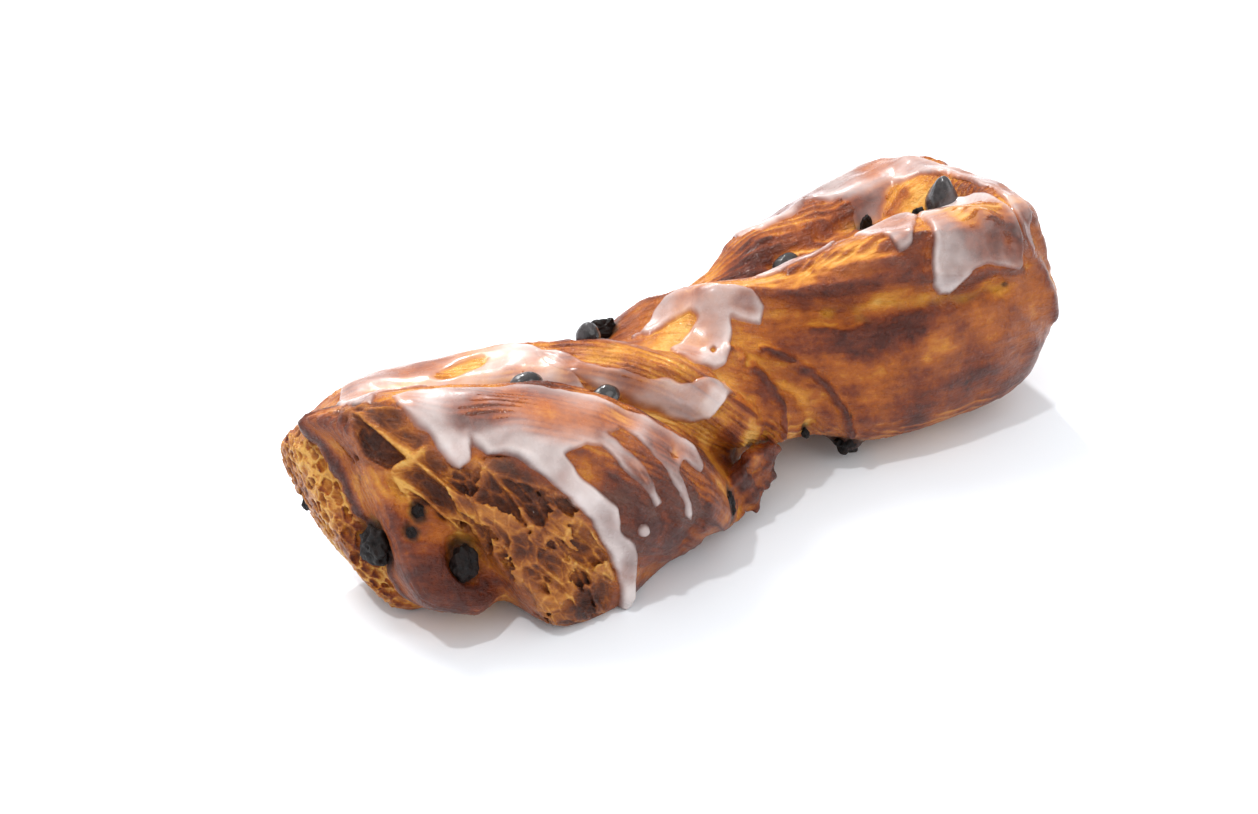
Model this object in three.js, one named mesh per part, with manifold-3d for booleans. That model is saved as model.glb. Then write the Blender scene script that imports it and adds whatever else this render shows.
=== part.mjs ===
// An iced chocolate-chip twist: two sheets of laminated dough joined by a web, given half a turn
// by hand and baked. X runs along the pastry, +Z is up and it rests on z = 0. Millimetres.
import * as THREE from "three";
import { mergeVertices } from "three/addons/utils/BufferGeometryUtils.js";
import Module from "manifold-3d";

const wasm = await Module();
wasm.setup();

// Driving dimensions.
const length = 186;
const ringAngles = 42;
const ringStep = 3.3;
const sheetCorner = 6;
const crownThinning = 0.25;
const frontSheetEnd = { setBack: 20, slant: 22, lowerSlant: 12, slope: 0.8, blend: 5 };
const nearTuck = { under: 10, below: 24, blend: 4 };
const webShare = { middle: 0.68, near: 0.24, far: 0.3 };
const web = { halfThickness: 8, nearShift: 5, nearExtra: 4, farExtra: 10, corner: 4, setBack: 5, blend: 4 };
const sheetBlend = 3;
const farEnd = { round: 14, depth: 15, lean: 3, leanOver: 22, leanFrom: 0.6, tuck: 12, tuckBelow: 24 };
const farOutline = { spread: 5, extra: 2, share: 0.7, blend: 6 };
const ringMiddleShift = { near: 8.5, nearUntil: 0.06, far: 8, farFrom: 0.94 };
const groundBlend = 1.5;
const standsAt = { x: -1.1, y: 4.6 };
const farPool = { from: 0.87, over: 0.08 };
const nearFill = { until: 0.26, over: 0.16 };
const rayReach = 60;
const rayStep = 0.7;
const rayHalvings = 18;
const smallestRadius = 0.5;
const tipStep = 0.05;
const nearRings = [0.05, 0.7, 1.6, 3, 5, 7.5];
const farRings = [8.5, 6, 4, 2.4, 1.2, 0.4, 0];
const flatWithin = 0.03;
const chipGap = 0.45;
const icingGap = 0.45;
const icingThickness = 1.2;
const icingWedge = { roundness: 0.4, pointsPerCorner: 3, below: 4, above: 6, reach: 90 };
const chipForm = { around: 10, up: 7, pinch: 0.22, lump: 0.06 };

const colours = {
  dough: 0xb5702c,
  chip: 0x1d1411,
  icing: 0xe3d3cb,
};

// The section along the length. turn is the direction of the first cut side, in degrees from
// straight up towards the front (-Y). half is half the width of the front sheet and of the back one
// across the cut sides. off and lean give each sheet's distance from the middle and how far its two
// edges spread from it. thick is half a sheet's thickness. y and z place the section's middle.
const stations = [
  { at: 0.0, turn: -48, half: [24, 23], off: [9, 9], lean: [-2, 2, 2, 3], thick: [8, 8.5], y: 0, z: 24.5 },
  { at: 0.1, turn: -28, half: [27.5, 28.5], off: [13, 10.5], lean: [-5, 4, 1, 3], thick: [11, 10], y: -4, z: 23.5 },
  { at: 0.2, turn: -9, half: [28, 25.5], off: [17.5, 12], lean: [-8, 4, 1, 4], thick: [13, 11], y: -6, z: 22.5 },
  { at: 0.3, turn: 12, half: [28, 24], off: [20.5, 12], lean: [-10, 5, 1, 4], thick: [14, 11], y: -7, z: 21.5 },
  { at: 0.4, turn: 46, half: [28, 23.5], off: [18.5, 11], lean: [-5, 4, 1, 3], thick: [12.5, 10.5], y: -8, z: 21 },
  { at: 0.48, turn: 90, half: [26, 22.5], off: [12, 10], lean: [2, 1, 2, 1], thick: [10, 10], y: -5, z: 21 },
  { at: 0.55, turn: 132, half: [20, 20], off: [9.5, 10], lean: [1, 2, -1, 1], thick: [9.5, 10], y: -3.5, z: 24.5 },
  { at: 0.62, turn: 150, half: [21.5, 20], off: [11, 11], lean: [1, 3, -1, 3], thick: [9.5, 10.5], y: -3, z: 24.5 },
  { at: 0.7, turn: 155, half: [26.5, 24], off: [14, 14], lean: [0, 4, -2, 6], thick: [10, 11.5], y: -3, z: 22.5 },
  { at: 0.8, turn: 157, half: [28.5, 26], off: [18, 17.5], lean: [-1, 4, -5, 4], thick: [10.5, 13.5], y: -3.5, z: 22.5 },
  { at: 0.9, turn: 160, half: [28.5, 26.5], off: [19.5, 18.5], lean: [0, 3, -7, 0], thick: [11, 14.5], y: -3.5, z: 23 },
  { at: 1.0, turn: 165, half: [26, 25], off: [18, 17.5], lean: [0, 0, -7, -3], thick: [12, 13], y: -3, z: 23 },
];

// Chocolate chips: middle and half sizes along X, Y and Z, then a turn about X and about Z in degrees.
const chips = [
  { at: [-87.5, -10.5, 22.7], size: [3.6, 4.4, 4.6], turn: [20, 10] },
  { at: [-74, -24.6, 21], size: [3.2, 3.2, 4.8], turn: [15, -10] },
  { at: [-80.8, -17.4, 33.6], size: [1.5, 1.5, 2], turn: [0, 0] },
  { at: [-84, -19.6, 30.4], size: [1.3, 1.4, 1.5], turn: [0, 30] },
  { at: [-92.6, 14.6, 19], size: [1.3, 1.8, 2.2], turn: [0, 0] },
  { at: [-31.5, -17.5, 44.5], size: [4.2, 2.6, 2.8], turn: [20, 0] },
  { at: [-46, -7, 47.4], size: [4.6, 3.2, 3], turn: [0, 10] },
  { at: [-24.5, 0.4, 48.4], size: [3.2, 3, 3.2], turn: [-30, 0] },
  { at: [-10.6, 15.6, 34.9], size: [3.2, 2.8, 2.8], turn: [-20, 20] },
  { at: [-8.6, -34.4, 13], size: [2.2, 2.4, 4.2], turn: [10, 0] },
  { at: [1, -22.6, 9.6], size: [1.8, 1.8, 2], turn: [0, 0] },
  { at: [34.4, -23.6, 5.6], size: [3.4, 3.2, 3.6], turn: [20, 20] },
  { at: [20.2, -25.4, 15.9], size: [1.2, 1.3, 1.3], turn: [0, 0] },
  { at: [38.4, 8.6, 38.4], size: [4, 2.6, 2.8], turn: [-20, -10] },
  { at: [64.5, 11, 38.6], size: [1.9, 1.8, 3.2], turn: [-15, 0] },
  { at: [71.2, -0.4, 44.2], size: [2.6, 2.2, 2.6], turn: [0, 0] },
  { at: [77.8, -1.2, 46.4], size: [3.8, 4.2, 5.6], turn: [20, -15] },
];

// Icing patches: outlines as [x, degrees from straight up towards the front].
const icing = {
  icing_near_drape: [
    [-77, -2], [-76.5, 10], [-74, 22], [-71, 36], [-66, 35], [-60, 42], [-54, 58], [-49, 74], [-44, 95],
    [-41.5, 110], [-38, 110], [-38.5, 96], [-41.5, 80], [-45, 65], [-49.5, 52], [-46, 46], [-40, 50],
    [-35, 60], [-30, 66], [-25, 78], [-20, 74], [-18, 64], [-22, 52], [-33, 32], [-42, 18], [-50, 9],
    [-60, 3], [-70, -2],
  ],
  icing_near_crest: [
    [-84, -28], [-82, -12], [-72, -14], [-64, -15], [-57, -22], [-48, -18], [-40, -10], [-36, -16],
    [-44, -30], [-54, -42], [-66, -52], [-76, -52],
  ],
  icing_middle_ribbon: [
    [-36, -14], [-27, 6], [-15, 31], [-7, 38], [0, 47], [0, 55], [-7, 58], [-12, 54], [-17.5, 41],
    [-23.5, 29], [-29, 16], [-35, 0],
  ],
  icing_waist_pool: [
    [-8, -30], [-1, -26], [6, -15], [10, -1], [16.4, 11], [17.5, 21], [15, 27], [9.5, 17], [8, 24],
    [6, 31], [2.5, 35], [-4, 24], [-7, 12], [-1, 0], [-2, -14],
  ],
  icing_far_rim: [
    [34, -58], [44, -53], [56, -56], [67, -51], [76, -43], [82, -32], [84, -16], [85, 2], [85, 20],
    [84, 38], [85, 50], [87.5, 44], [89, 26], [89.5, 4], [89, -16], [87, -38], [80, -58], [66, -69],
    [48, -71], [37, -68],
  ],
  icing_lip_streak: [
    [21, -2], [30, -3], [38, -3], [43, -1], [43, 4], [38, 9], [30, 8],
  ],
  icing_lip_patch: [
    [48, 5], [54, 3], [61, 4], [62, 12], [57, 22], [51, 26],
  ],
  icing_far_pool: [
    [59, 32], [62, 20], [68, 11], [75, 9], [80, 16], [81, 28], [78, 40], [71, 46], [63, 43],
  ],
};

const clamp = THREE.MathUtils.clamp;
const nearX = -length / 2;

// Monotone cubic through the stations, so that no value overshoots its neighbours.
const columns = stations.map((s) => [s.turn, ...s.half, ...s.off, ...s.lean, ...s.thick, s.y, s.z]);
const places = stations.map((s) => s.at);
function slopes(column) {
  const steps = places.slice(1).map((p, i) => (columns[i + 1][column] - columns[i][column]) / (p - places[i]));
  return places.map((_, i) => {
    if (i === 0) return steps[0];
    if (i === steps.length) return steps[i - 1];
    const before = steps[i - 1];
    const after = steps[i];
    return before * after > 0 ? (2 * before * after) / (before + after) : 0;
  });
}
const columnSlopes = columns[0].map((_, column) => slopes(column));

function sectionAt(x) {
  const s = clamp(x / length + 0.5, 0, 1);
  const i = clamp(places.findIndex((p) => p > s) - 1, 0, places.length - 2);
  const k = s === 1 ? places.length - 2 : i;
  const span = places[k + 1] - places[k];
  const t = (s - places[k]) / span;
  const values = columns[0].map((_, c) => {
    const a = (2 * t ** 3 - 3 * t ** 2 + 1) * columns[k][c];
    const b = (t ** 3 - 2 * t ** 2 + t) * span * columnSlopes[c][k];
    const d = (3 * t ** 2 - 2 * t ** 3) * columns[k + 1][c];
    const e = (t ** 3 - t ** 2) * span * columnSlopes[c][k + 1];
    return a + b + d + e;
  });
  const [turn, half, halfB, offA, offB, leanA1, leanA2, leanB1, leanB2, thickA, thickB, y, z] = values;
  return { s, turn, half, halfB, offA, offB, leanA1, leanA2, leanB1, leanB2, thickA, thickB, y, z };
}

function smoothMin(a, b, blend) {
  const h = clamp(0.5 + (0.5 * (b - a)) / blend, 0, 1);
  return b + (a - b) * h - blend * h * (1 - h);
}
const smoothMax = (a, b, blend) => -smoothMin(-a, -b, blend);

// Distance to a sheet's section: a rectangle with round corners.
function sheetDistance(a, b, middle, thick, half, corner) {
  const qa = Math.abs(a) - (half - corner);
  const qb = Math.abs(b - middle) - (thick - corner);
  return Math.hypot(Math.max(qa, 0), Math.max(qb, 0)) + Math.min(Math.max(qa, qb), 0) - corner;
}

// Distance to the dough's surface, less than zero inside. a runs across the cut sides and b across
// the sheets, both turning with the twist; b > 0 is the sheet that is at the front near -X.
function doughDistance(section, x, y, z) {
  const p = section;
  const turn = THREE.MathUtils.degToRad(p.turn);
  const dy = y - p.y;
  const dz = z - p.z;
  const a = -Math.sin(turn) * dy + Math.cos(turn) * dz;
  const b = -Math.cos(turn) * dy - Math.sin(turn) * dz;
  const across = clamp(a / p.half, -1.3, 1.3);
  const first = Math.max(across, 0) ** 2;
  const second = Math.max(-across, 0) ** 2;
  const middleA = p.offA - 1 + p.leanA1 * first + p.leanA2 * second;
  const middleB = -(p.offB - 1 + p.leanB1 * first + p.leanB2 * second);
  const crown = 1 - crownThinning * across ** 2;
  let sheetA = sheetDistance(a, b, middleA, p.thickA * crown, p.half, sheetCorner);
  let sheetB = sheetDistance(a, b, middleB, p.thickB * crown, p.halfB, sheetCorner);
  const slant = across > 0 ? frontSheetEnd.slant : frontSheetEnd.lowerSlant;
  const frontEnd = nearX + frontSheetEnd.setBack - slant * across;
  const nearEnd = nearX + nearTuck.under * clamp(1 - z / nearTuck.below, 0, 1) ** 2;
  sheetA = smoothMax(sheetA, (frontEnd - x) * frontSheetEnd.slope, frontSheetEnd.blend);
  sheetB = smoothMax(sheetB, nearEnd - x, nearTuck.blend);
  const near = clamp((nearFill.until - p.s) / nearFill.over, 0, 1);
  const far = clamp((p.s - farPool.from) / farPool.over, 0, 1);
  const webMiddle = (p.offA - p.offB) / 2 + web.nearShift * near;
  const webThin = Math.min((p.offA + p.offB) / 2, web.halfThickness);
  const webThick = webThin + web.nearExtra * near + web.farExtra * far;
  const webHalf = p.half * (webShare.middle + webShare.near * near + webShare.far * far);
  let joining = sheetDistance(a, b, webMiddle, webThick, webHalf, web.corner);
  joining = smoothMax(joining, nearEnd + web.setBack - x, web.blend);
  let d = smoothMin(smoothMin(sheetA, sheetB, sheetBlend), joining, web.blend);
  const lean = farEnd.lean * clamp(z / farEnd.leanOver - farEnd.leanFrom, 0, 1);
  const tuck = farEnd.tuck * clamp(1 - z / farEnd.tuckBelow, 0, 1) ** 2;
  const along = Math.max(x - lean + tuck - (length / 2 - farEnd.round), 0) / farEnd.depth;
  const outer = (p.offA + p.offB) / 2 + p.thickA + farOutline.extra;
  const radius = farOutline.share * Math.hypot(a / (p.half + farOutline.spread), b / outer);
  d = smoothMax(d, (Math.hypot(along, radius) - 1) * farEnd.depth, farOutline.blend);
  return smoothMax(d, -z, groundBlend);
}

// The point inside the dough that a ring is drawn around.
function ringMiddle(x) {
  const p = sectionAt(x);
  const turn = THREE.MathUtils.degToRad(p.turn);
  const { near, nearUntil, far, farFrom } = ringMiddleShift;
  const back = -near * clamp(1 - p.s / nearUntil, 0, 1);
  const lift = far * clamp((p.s - farFrom) / (1 - farFrom), 0, 1);
  return { section: p, y: p.y - Math.cos(turn) * back, z: p.z - Math.sin(turn) * back + lift };
}

// Outermost radius of the dough from the ring's middle, towards an angle from up to the front.
function surfaceRadius(middle, x, angle) {
  const away = (r) => doughDistance(middle.section, x, middle.y - r * Math.sin(angle), middle.z + r * Math.cos(angle));
  let inside = rayReach;
  while (inside > 0 && away(inside) > 0) inside -= rayStep;
  if (inside <= 0) return smallestRadius;
  let outside = inside + rayStep;
  for (let i = 0; i < rayHalvings; i += 1) {
    const half = (inside + outside) / 2;
    if (away(half) > 0) outside = half;
    else inside = half;
  }
  return inside;
}

// Places of the rings: close together at both ends, even between.
function ringPlaces() {
  let tip = length / 2 + farEnd.round;
  const inDough = (x) => {
    const m = ringMiddle(x);
    return doughDistance(m.section, x, m.y, m.z) < 0;
  };
  while (!inDough(tip)) tip -= tipStep;
  const nearEdge = nearRings.map((d) => nearX + d);
  const farEdge = farRings.map((d) => tip - d);
  const from = nearEdge[nearEdge.length - 1];
  const count = Math.round((farEdge[0] - from) / ringStep);
  const even = [];
  for (let i = 1; i < count; i += 1) even.push(from + ((farEdge[0] - from) * i) / count);
  return [...nearEdge, ...even, ...farEdge];
}

// The dough as rings of points, each kept as a middle, an angle and a radius.
const rings = ringPlaces().map((x) => {
  const middle = ringMiddle(x);
  const turn = THREE.MathUtils.degToRad(middle.section.turn);
  const spokes = [];
  for (let j = 0; j < ringAngles; j += 1) {
    const angle = turn + (2 * Math.PI * j) / ringAngles;
    spokes.push({ angle, radius: surfaceRadius(middle, x, angle) });
  }
  return { x, middle, spokes };
});

function spokePoint(ring, j) {
  const { angle, radius } = ring.spokes[j];
  return new THREE.Vector3(ring.x, -radius * Math.sin(angle), radius * Math.cos(angle));
}

// Whether a four-sided face between two rings is split along the diagonal from its first corner:
// the shorter diagonal follows the ridges of the twist.
function splitsUp(i, j, next) {
  const [low, high] = [rings[i], rings[i + 1]];
  const up = spokePoint(low, j).distanceTo(spokePoint(high, next));
  return up < spokePoint(low, next).distanceTo(spokePoint(high, j));
}

// A closed geometry over the rings, with each radius grown by the same amount.
function ringGeometry(grow) {
  const positions = [];
  const faces = [];
  rings.forEach(({ x, middle, spokes }) => {
    spokes.forEach(({ angle, radius }) => {
      const r = radius + grow;
      const z = middle.z + r * Math.cos(angle);
      const onGround = grow === 0 && Math.abs(z) < flatWithin;
      positions.push(x, middle.y - r * Math.sin(angle), onGround ? 0 : z);
    });
  });
  const near = positions.length / 3;
  positions.push(rings[0].x - grow, rings[0].middle.y, rings[0].middle.z);
  const last = rings[rings.length - 1];
  positions.push(last.x + grow, last.middle.y, last.middle.z);
  for (let j = 0; j < ringAngles; j += 1) {
    const next = (j + 1) % ringAngles;
    for (let i = 0; i + 1 < rings.length; i += 1) {
      const row = i * ringAngles;
      const above = row + ringAngles;
      if (splitsUp(i, j, next)) {
        faces.push(row + j, row + next, above + next);
        faces.push(row + j, above + next, above + j);
      } else {
        faces.push(row + j, row + next, above + j);
        faces.push(row + next, above + next, above + j);
      }
    }
    const end = (rings.length - 1) * ringAngles;
    faces.push(near, next, j);
    faces.push(near + 1, end + j, end + next);
  }
  return { positions, faces };
}

function solidFrom(positions, faces) {
  const mesh = new wasm.Mesh({
    numProp: 3,
    vertProperties: new Float32Array(positions),
    triVerts: new Uint32Array(faces),
  });
  return new wasm.Manifold(mesh);
}

function solidFromGeometry(geometry) {
  const bare = geometry.clone();
  bare.deleteAttribute("normal");
  bare.deleteAttribute("uv");
  const merged = mergeVertices(bare, 1e-3);
  return solidFrom(merged.attributes.position.array, merged.index.array);
}

function meshFrom(solid, name, colour, roughness) {
  const made = solid.getMesh();
  const geometry = new THREE.BufferGeometry();
  geometry.setAttribute("position", new THREE.BufferAttribute(made.vertProperties, 3));
  geometry.setIndex(new THREE.BufferAttribute(made.triVerts, 1));
  geometry.computeVertexNormals();
  const material = new THREE.MeshStandardMaterial({ color: colour, roughness, metalness: 0 });
  const mesh = new THREE.Mesh(geometry, material);
  mesh.name = name;
  return mesh;
}

// A chip: a ball with a soft point at the top, a little lumpy, grown by a gap for its pocket.
function chipSolid({ at, size, turn }, gap) {
  const geometry = new THREE.SphereGeometry(1, chipForm.around, chipForm.up);
  const points = geometry.attributes.position;
  const v = new THREE.Vector3();
  for (let i = 0; i < points.count; i += 1) {
    v.fromBufferAttribute(points, i);
    const pinch = 1 - chipForm.pinch * Math.max(v.y, 0);
    const lump = 1 + chipForm.lump * Math.sin(3 * v.x + at[0]) * Math.cos(2 * v.z + at[1]);
    points.setXYZ(i, v.x * pinch * lump, v.y * lump, v.z * pinch * lump);
  }
  geometry.rotateX(Math.PI / 2);
  geometry.scale(size[0] + gap, size[1] + gap, size[2] + gap);
  geometry.rotateX(THREE.MathUtils.degToRad(turn[0]));
  geometry.rotateZ(THREE.MathUtils.degToRad(turn[1]));
  geometry.translate(...at);
  return solidFromGeometry(geometry);
}

// A wedge around the pastry's middle line that cuts an icing outline out of the icing's shell.
function outlineWedge(outline) {
  const corners = outline.map(([x, degrees]) => new THREE.Vector3(x, degrees, 0));
  const { roundness, pointsPerCorner, below, above, reach } = icingWedge;
  const curve = new THREE.CatmullRomCurve3(corners, true, "catmullrom", roundness);
  const points = curve.getPoints(outline.length * pointsPerCorner).slice(1);
  const flat = points.map((p) => new THREE.Vector2(p.x, p.y));
  if (THREE.ShapeUtils.isClockWise(flat)) flat.reverse();
  const layers = [() => 1, (surface) => surface - below, (surface) => surface + above, () => reach];
  const n = flat.length;
  const positions = layers.flatMap((radiusFor) =>
    flat.flatMap((p) => {
      const middle = ringMiddle(p.x);
      const angle = THREE.MathUtils.degToRad(p.y);
      const radius = radiusFor(surfaceRadius(middle, p.x, angle));
      return [p.x, middle.y - radius * Math.sin(angle), middle.z + radius * Math.cos(angle)];
    }),
  );
  const faces = [];
  const top = (layers.length - 1) * n;
  THREE.ShapeUtils.triangulateShape(flat, []).forEach(([a, b, c]) => {
    faces.push(a, b, c);
    faces.push(top + a, top + c, top + b);
  });
  for (let row = 0; row < top; row += n) {
    for (let i = 0; i < n; i += 1) {
      const j = (i + 1) % n;
      faces.push(row + i, row + n + i, row + n + j);
      faces.push(row + i, row + n + j, row + j);
    }
  }
  return solidFrom(positions, faces);
}

// The biggest body of a solid, without the crumbs that a cut can leave at a thin corner.
function largestBody(solid) {
  return solid.decompose().reduce((most, body) => (body.volume() > most.volume() ? body : most));
}

const twist = new THREE.Group();
const pockets = chips.map((chip) => chipSolid(chip, chipGap));

const doughRings = ringGeometry(0);
let dough = solidFrom(doughRings.positions, doughRings.faces);
pockets.forEach((pocket) => {
  dough = dough.subtract(pocket);
});
twist.add(meshFrom(dough, "dough_twist", colours.dough, 0.45));

chips.forEach((chip, i) => {
  const name = `chocolate_chip_${String(i + 1).padStart(2, "0")}`;
  twist.add(meshFrom(chipSolid(chip, 0), name, colours.chip, 0.4));
});

const under = ringGeometry(icingGap);
const over = ringGeometry(icingGap + icingThickness);
const icingShell = solidFrom(over.positions, over.faces).subtract(solidFrom(under.positions, under.faces));
Object.entries(icing).forEach(([name, outline]) => {
  let patch = icingShell.intersect(outlineWedge(outline));
  pockets.forEach((pocket) => {
    patch = patch.subtract(pocket);
  });
  patch = largestBody(patch);
  twist.add(meshFrom(patch, name, colours.icing, 0.25));
});

// The origin is the middle of the box that the whole pastry fills, on the surface it rests on.
twist.position.set(standsAt.x, standsAt.y, 0);

export default twist;
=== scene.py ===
# A chocolate-chip twist: two sheets of laminated dough half turned by hand, baked and iced.
# Lengths in the dictionaries are millimetres, and angles around the pastry are degrees from
# straight up towards the front.
import math

import bmesh
import bpy
import numpy as np
import openvdb as vdb
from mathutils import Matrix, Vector


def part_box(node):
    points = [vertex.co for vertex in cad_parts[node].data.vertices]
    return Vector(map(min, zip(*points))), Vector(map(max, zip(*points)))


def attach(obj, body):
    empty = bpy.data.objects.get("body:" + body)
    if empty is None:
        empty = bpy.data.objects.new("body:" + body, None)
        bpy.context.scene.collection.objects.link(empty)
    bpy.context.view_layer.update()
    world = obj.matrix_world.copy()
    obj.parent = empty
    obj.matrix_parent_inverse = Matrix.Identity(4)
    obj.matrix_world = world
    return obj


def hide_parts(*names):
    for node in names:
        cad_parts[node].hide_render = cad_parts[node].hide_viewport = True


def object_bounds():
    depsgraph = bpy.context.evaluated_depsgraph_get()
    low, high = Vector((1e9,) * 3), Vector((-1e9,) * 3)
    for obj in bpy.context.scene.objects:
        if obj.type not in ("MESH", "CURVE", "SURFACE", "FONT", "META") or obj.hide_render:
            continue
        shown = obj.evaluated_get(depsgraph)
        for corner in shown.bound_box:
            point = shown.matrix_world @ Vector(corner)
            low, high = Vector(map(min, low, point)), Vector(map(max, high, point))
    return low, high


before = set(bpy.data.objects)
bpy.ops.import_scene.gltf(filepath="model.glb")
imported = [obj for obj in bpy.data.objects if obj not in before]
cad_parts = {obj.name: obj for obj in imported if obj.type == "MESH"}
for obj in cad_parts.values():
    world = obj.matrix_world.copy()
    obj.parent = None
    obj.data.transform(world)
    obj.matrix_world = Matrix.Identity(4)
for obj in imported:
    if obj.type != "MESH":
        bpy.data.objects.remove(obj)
cadLow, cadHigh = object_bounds()
scene = bpy.context.scene
scene.view_settings.view_transform = "Standard"
mm = 0.001


# small helpers for arrays

def ease(low, high, value):
    t = np.clip((value - low) / (high - low), 0, 1)
    return t * t * (3 - 2 * t)


def softMin(a, b, blend):
    h = np.clip(0.5 + 0.5 * (b - a) / blend, 0, 1)
    return b + (a - b) * h - blend * h * (1 - h)


def softMax(a, b, blend):
    return -softMin(-a, -b, blend)


cloud = {"side": 64, "seed": 11}
cloudValues = np.random.default_rng(cloud["seed"]).uniform(-1, 1, cloud["side"] ** 3).astype(np.float32)


def lattice(ix, iy, iz):
    side = cloud["side"]
    return cloudValues[((ix & (side - 1)) * side + (iy & (side - 1))) * side + (iz & (side - 1))]


# smooth noise from -1 to 1, with lumps about as big as the scale
def noise(x, y, z, scale, shift=0.0):
    u = (0.80 * x + 0.56 * y + 0.20 * z) / scale + shift
    v = (-0.59 * x + 0.76 * y + 0.28 * z) / scale + 1.7 * shift
    w = (-0.34 * y + 0.94 * z) / scale - shift
    iu, iv, iw = (np.floor(t).astype(np.int32) for t in (u, v, w))
    fu, fv, fw = u - iu, v - iv, w - iw
    fu, fv, fw = (t * t * (3 - 2 * t) for t in (fu, fv, fw))
    total = 0
    for du in (0, 1):
        for dv in (0, 1):
            for dw in (0, 1):
                share = (fu if du else 1 - fu) * (fv if dv else 1 - fv) * (fw if dw else 1 - fw)
                total = total + share * lattice(iu + du, iv + dv, iw + dw)
    return total


# bubbles in the crumb: how far each point is inside its cell, and a number from 0 to 1 for the cell
def bubbles(u, v, w):
    iu, iv, iw = (np.floor(t).astype(np.int32) for t in (u, v, w))
    nearest = np.full(u.shape, 9.0, np.float32)
    second = np.full(u.shape, 9.0, np.float32)
    cell = np.zeros(u.shape, np.float32)
    for du in (-1, 0, 1):
        for dv in (-1, 0, 1):
            for dw in (-1, 0, 1):
                cu, cv, cw = iu + du, iv + dv, iw + dw
                pu = cu + 0.5 + 0.45 * lattice(cu, cv, cw)
                pv = cv + 0.5 + 0.45 * lattice(cu + 7, cv, cw)
                pw = cw + 0.5 + 0.45 * lattice(cu, cv + 13, cw)
                away = np.sqrt((u - pu) ** 2 + (v - pv) ** 2 + (w - pw) ** 2)
                closer = away < nearest
                second = np.where(closer, nearest, np.minimum(second, away))
                cell = np.where(closer, lattice(cu, cv, cw + 29), cell)
                nearest = np.where(closer, away, nearest)
    return second - nearest, 0.5 + 0.5 * cell


# The section along the length. turn is the direction of the first cut side. half is half the width
# of the front sheet and of the back one, off and lean their distance from the middle and how far
# their edges spread, thick half their thickness, y and z the middle of the section.
twist = {
    "length": 186,
    "standsAt": (-1.1, 4.6, 0.0),
    "corner": 6,
    "crownThinning": 0.25,
    "frontEnd": (20, 22, 12, 5),   # set back, slants above and below, and rounding of its end
    "frontSlope": 0.8,
    "nearTuck": (10, 24, 4),       # how far the near end goes in under this height, and its blend
    "webShare": (0.68, 0.24, 0.3), # share of the width in the middle, and more at the two ends
    "web": (8, 5, 4, 4),           # half thickness, set back from the end, corner and blend
    "webNear": (5, 4),             # shift across the sheets and extra thickness at the near end
    "webFar": 10,
    "sheetBlend": 3,
    "farEnd": (14, 15, 3, 12, 5),  # rounding, depth, lean, tuck under and spread
    "farLean": (22, 0.6),          # it leans over this height, from this share of it
    "farTuck": 24,
    "farRound": (0.7, 2, 6),       # share, extra width and blend of its outline
    "nearFill": (0.26, 0.16),
    "farPool": (0.87, 0.08),
    "ground": 1.5,
}
stationNames = ("at", "turn", "halfA", "halfB", "offA", "offB", "leanA1", "leanA2", "leanB1",
                "leanB2", "thickA", "thickB", "y", "z")
stations = np.array([
    (0.00, -48, 24.0, 23.0, 9.0, 9.0, -2, 2, 2, 3, 8.0, 8.5, 0.0, 24.5),
    (0.10, -28, 27.5, 28.5, 13.0, 10.5, -5, 4, 1, 3, 11.0, 10.0, -4.0, 23.5),
    (0.20, -9, 28.0, 25.5, 17.5, 12.0, -8, 4, 1, 4, 13.0, 11.0, -6.0, 22.5),
    (0.30, 12, 28.0, 24.0, 20.5, 12.0, -10, 5, 1, 4, 14.0, 11.0, -7.0, 21.5),
    (0.40, 46, 28.0, 23.5, 18.5, 11.0, -5, 4, 1, 3, 12.5, 10.5, -8.0, 21.0),
    (0.48, 90, 26.0, 22.5, 12.0, 10.0, 2, 1, 2, 1, 10.0, 10.0, -5.0, 21.0),
    (0.55, 132, 20.0, 20.0, 9.5, 10.0, 1, 2, -1, 1, 9.5, 10.0, -3.5, 24.5),
    (0.62, 150, 21.5, 20.0, 11.0, 11.0, 1, 3, -1, 3, 9.5, 10.5, -3.0, 24.5),
    (0.70, 155, 26.5, 24.0, 14.0, 14.0, 0, 4, -2, 6, 10.0, 11.5, -3.0, 22.5),
    (0.80, 157, 28.5, 26.0, 18.0, 17.5, -1, 4, -5, 4, 10.5, 13.5, -3.5, 22.5),
    (0.90, 160, 28.5, 26.5, 19.5, 18.5, 0, 3, -7, 0, 11.0, 14.5, -3.5, 23.0),
    (1.00, 165, 26.0, 25.0, 18.0, 17.5, 0, 0, -7, -3, 12.0, 13.0, -3.0, 23.0),
])
nearX = -twist["length"] / 2


# monotone cubic through the stations, so that no value overshoots its neighbours
def fineStations(samples=1861):
    places = stations[:, 0]
    where = np.linspace(0, 1, samples)
    span = np.diff(places)
    index = np.clip(np.searchsorted(places, where, side="right") - 1, 0, len(span) - 1)
    t = (where - places[index]) / span[index]
    fine = {"at": where}
    for column, name in enumerate(stationNames[1:], 1):
        values = stations[:, column]
        steps = np.diff(values) / span
        before, after = steps[:-1], steps[1:]
        product = before * after
        middle = np.where(product > 0, 2 * product / np.where(product > 0, before + after, 1), 0)
        slope = np.concatenate([steps[:1], middle, steps[-1:]])
        fine[name] = ((2 * t**3 - 3 * t**2 + 1) * values[index]
                      + (t**3 - 2 * t**2 + t) * span[index] * slope[index]
                      + (3 * t**2 - 2 * t**3) * values[index + 1]
                      + (t**3 - t**2) * span[index] * slope[index + 1])
    return fine


fine = fineStations()


def sectionAt(x):
    s = np.clip(x / twist["length"] + 0.5, 0, 1)
    section = {name: np.interp(s, fine["at"], fine[name]).astype(np.float32) for name in stationNames[1:]}
    section["s"] = s
    return section


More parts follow.
